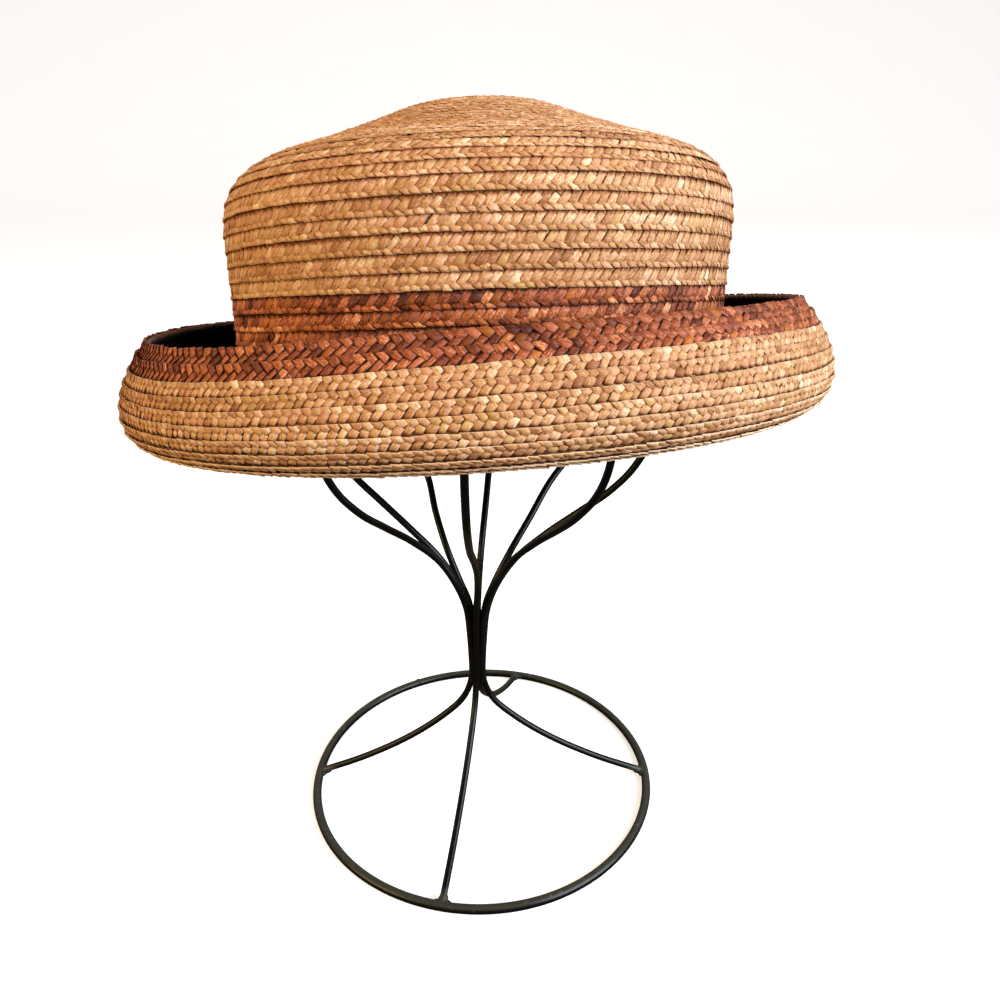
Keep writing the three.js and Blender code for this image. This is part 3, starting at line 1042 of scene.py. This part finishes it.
# The first lane takes a painted highlight on its folded edge, the second painted shade at its far
# end.
rim_lanes = (
    Lane(flat_pad, 0.35, 1.45, -44, (1.80, 1.45), 0.42, roll=-0.12, taper=-0.04,
         cut=(0, 0.92), slanted=True, lit=0.7),
    Lane(flat_pad, 0.85, 4.35, 44, (1.80, 1.58), 0.44, roll=-0.14, taper=-0.03,
         cut=(-0.92, -0.60), slanted=True, shade=0.55),
    Lane(fold_pad, 0.60, 5.60, -44, (1.05, 1.30), 0.42),
)
rim_rows = [
    Row(brim_length - RIM_WIDTH / 2 * turn, -1, RIM_WIDTH / 2, tone=-0.06) for turn in range(2)
]
rim_braid = lay_braid(
    "brim_edge_braid", on_brim, rim_rows, rim_lanes, 41, stitch=3.8, contrast=0.95,
)
hand_over(rim_braid, "rust_straw", rust_straw)
rim_core = turn_brim_shell(
    "brim_edge_core", np.linspace(brim_top, brim_length - 0.2, 5), CORE_RISE, INSIDE_RISE,
)
hand_over(rim_core, "rust_straw", rust_back, "brim_edge")


# ---- The rim's cord --------------------------------------------------------------------------
# A fine cord of two waxed plies, twisted and sewn in along the rim to hold the roll's shape.

CORD_PLY = 0.52                   # half a ply's thickness
CORD_WIND = 0.45 * CORD_PLY       # how far from their middle the two wind round each other
CORD_TWIST = 3.4                  # along the rim, from one full turn to the next
CORD_INSET = 0.35
CORD_RISE = -1.3
CORD_STEPS = 1560
cord_turn = np.linspace(0, 2 * math.pi, CORD_STEPS, endpoint=False)
cord_length = np.linalg.norm(
    np.diff(on_brim(np.append(cord_turn, 0), brim_length * MM), axis=0), axis=1,
).sum() / MM
cord_twist = cord_turn * round(cord_length / CORD_TWIST)
plies = []
for ply in (0, math.pi):
    rings = []
    for side in np.linspace(0, 2 * math.pi, 6, endpoint=False):
        out = CORD_WIND * np.cos(cord_twist + ply) + CORD_PLY * math.cos(side)
        up = CORD_WIND * np.sin(cord_twist + ply) + CORD_PLY * math.sin(side)
        distance = brim_length - CORD_INSET + out
        rings.append(on_brim(cord_turn, distance * MM, (up + CORD_RISE) * MM))
    corners = np.stack(rings, axis=1)
    here = np.arange(corners[..., 0].size).reshape(corners.shape[:2])
    ahead = np.roll(here, -1, 0)
    quads = np.stack([here, ahead, np.roll(ahead, -1, 1), np.roll(here, -1, 1)], axis=-1)
    mesh = bpy.data.meshes.new("cord_ply")
    mesh.from_pydata(corners.reshape(-1, 3).tolist(), [], quads.reshape(-1, 4).tolist())
    piece = bpy.data.objects.new("cord_ply", mesh)
    bpy.context.collection.objects.link(piece)
    plies.append(piece)
rim_cord = join_pieces("rim_cord", plies)
bpy.ops.object.mode_set(mode="EDIT")
face_outwards()
bpy.ops.object.shade_smooth()
waxed = Finish("waxed_cord")
fluff = waxed.noise(waxed.place(), 1800, detail=3, roughness=0.6)
soil = waxed.noise(waxed.place(), 45, detail=3)
cord_colour = waxed.mix(waxed.grade(fluff, 0.35, 0.65), sRGB(98, 68, 48), sRGB(148, 112, 84))
waxed.set(
    Base_Color=waxed.mix(waxed.grade(soil, 0.40, 0.66) * 0.6, cord_colour, sRGB(96, 56, 34)),
    Roughness=0.6 + fluff * 0.2, Normal=waxed.bump(0.5, 0.05, fluff),
)
hand_over(rim_cord, "rust_straw", waxed.material)


# ---- The brim's black facing -----------------------------------------------------------------
# The brim's upper side is faced with rows of dull black plait, from the crown up to the rim.

FACING_START = 1.6                # from the head opening
FACING_BACK = -2.5
FACING_RISE = -3.3
FACING_ROW = 5.2
# Its painted shade and painted highlight colours are black as well.
black_facing = straw(
    "black_facing",
    ((0.10, (0.0015, 0.0014, 0.0014)), (0.50, (0.0038, 0.0034, 0.0036)),
     (0.92, (0.016, 0.014, 0.014))),
    (0.006, 0.005, 0.004), (0.006, 0.004, 0.006), (0.001, 0.001, 0.001), (0.001, 0.001, 0.001),
    specular=0.12,
)
facing_lanes = (
    Lane(fold_pad, 0.35, 1.30, -48, (1.25, 1.80), 0.42, roll=0.08),
    Lane(fold_pad, 0.00, 3.90, 42, (1.45, 2.10), 0.48, roll=0.10),
)
facing_edges = np.arange(brim_length + 0.1, 6, -FACING_ROW)
facing_rows = [Row(edge, -1, FACING_ROW) for edge in facing_edges]
facing_braid = lay_braid(
    "brim_facing_braid", on_brim, facing_rows, facing_lanes, 51, stitch=3.9, inwards=True,
    edge_rise=-FACING_RISE + 0.1, tuck_rise=-FACING_RISE - 0.5,
)
hand_over(facing_braid, "black_facing", black_facing)
facing_core = turn_brim_shell(
    "brim_facing_core", np.linspace(FACING_START, brim_length - 0.2, 26), FACING_BACK,
    FACING_RISE + 0.35,
)
hand_over(facing_core, "black_facing", black_facing, "brim_facing")


# ---- Floor, light and camera -----------------------------------------------------------------
# A white paper sweep that curves up far behind, lit a little from below like a light table, a
# wide soft sky, a large soft window light from the front and right and a warm fill on the left.
# The camera stands close in front, a little above the hat.

SWEEP_WIDTH = 9
SWEEP_DEPTH = 5.6
SWEEP_BACK = 2.6
SWEEP_BEND = 1.6
BEND_STEPS = 16
HAT_MIDDLE = Vector((0, 0, 0.24))
deselect_all()
bpy.ops.mesh.primitive_plane_add(size=1, location=(0, 0, 0))
sweep = just_made("floor")
bpy.ops.object.mode_set(mode="EDIT")
bpy.ops.mesh.select_all(action="SELECT")
bpy.ops.transform.resize(value=(SWEEP_WIDTH, SWEEP_DEPTH, 1), center_override=(0, 0, 0))
bpy.ops.transform.translate(value=(0, SWEEP_BACK - SWEEP_DEPTH / 2, 0))
bpy.ops.mesh.select_mode(type="EDGE")
bpy.ops.mesh.select_all(action="DESELECT")
bpy.ops.object.mode_set(mode="OBJECT")
for edge in sweep.data.edges:
    ends = [sweep.data.vertices[number].co.y for number in edge.vertices]
    edge.select = min(ends) > SWEEP_BACK - 0.01
bpy.ops.object.mode_set(mode="EDIT")
for step in range(BEND_STEPS):
    turn = math.radians(90 * (step + 0.5) / BEND_STEPS)
    stride = SWEEP_BEND * math.pi / 2 / BEND_STEPS
    bpy.ops.mesh.extrude_edges_move(TRANSFORM_OT_translate={
        "value": (0, stride * math.cos(turn), stride * math.sin(turn)),
    })
bpy.ops.mesh.extrude_edges_move(TRANSFORM_OT_translate={"value": (0, 0, 3)})
face_outwards()
bpy.ops.object.shade_smooth()
settle(sweep)
pale = Finish("pale_floor")
grain = pale.noise(pale.place(), 6, detail=3)
pale.set(Base_Color=pale.mix(grain, (0.88, 0.88, 0.88), (0.91, 0.91, 0.91)), Roughness=0.85)
pale.shader.inputs["Emission Color"].default_value = (1, 1, 1, 1)
pale.shader.inputs["Emission Strength"].default_value = 0.56
sweep.data.materials.append(pale.material)
sweep.visible_diffuse = False
sweep.visible_glossy = False

sky = bpy.data.worlds.new("sky")
sky.use_nodes = True
air = Nodes(sky.node_tree)
height = air.parts(air.node("ShaderNodeTexCoord"))[2]
fade = air.grade(height, -0.5, 0.3, kind="LINEAR")
glow = air.mix(fade, (0.13, 0.10, 0.07), (0.42, 0.39, 0.37))
air.feed(sky.node_tree.nodes["Background"].inputs["Color"], glow)
bpy.context.scene.world = sky


def soft_light(name, spot, size, power, colour):
    lamp = bpy.data.lights.new(name, "AREA")
    lamp.shape = "SQUARE"
    lamp.size = size
    lamp.energy = power
    lamp.color = colour
    light = bpy.data.objects.new(name, lamp)
    light.location = spot
    light.rotation_mode = "QUATERNION"
    light.rotation_quaternion = (HAT_MIDDLE - Vector(spot)).to_track_quat("-Z", "Y")
    bpy.context.collection.objects.link(light)


soft_light("window_light", (1.30, -0.74, 0.84), 1.3, 54, (0.78, 0.91, 1))
soft_light("warm_fill", (-1.2, -0.7, 0.7), 0.8, 15, (1, 0.71, 0.22))
bpy.context.scene.view_settings.view_transform = "Standard"

lens = bpy.data.cameras.new("camera")
lens.lens = 30.6
lens.sensor_width = 36
lens.clip_start = 0.01
lens.clip_end = 50
camera = bpy.data.objects.new("camera", lens)
camera.location = ring_middle + Vector((9.79, -361.34, 335.3)) * MM
camera.rotation_euler = (math.radians(65), 0, 0)
bpy.context.collection.objects.link(camera)
bpy.context.scene.camera = camera

bpy.context.view_layer.update()
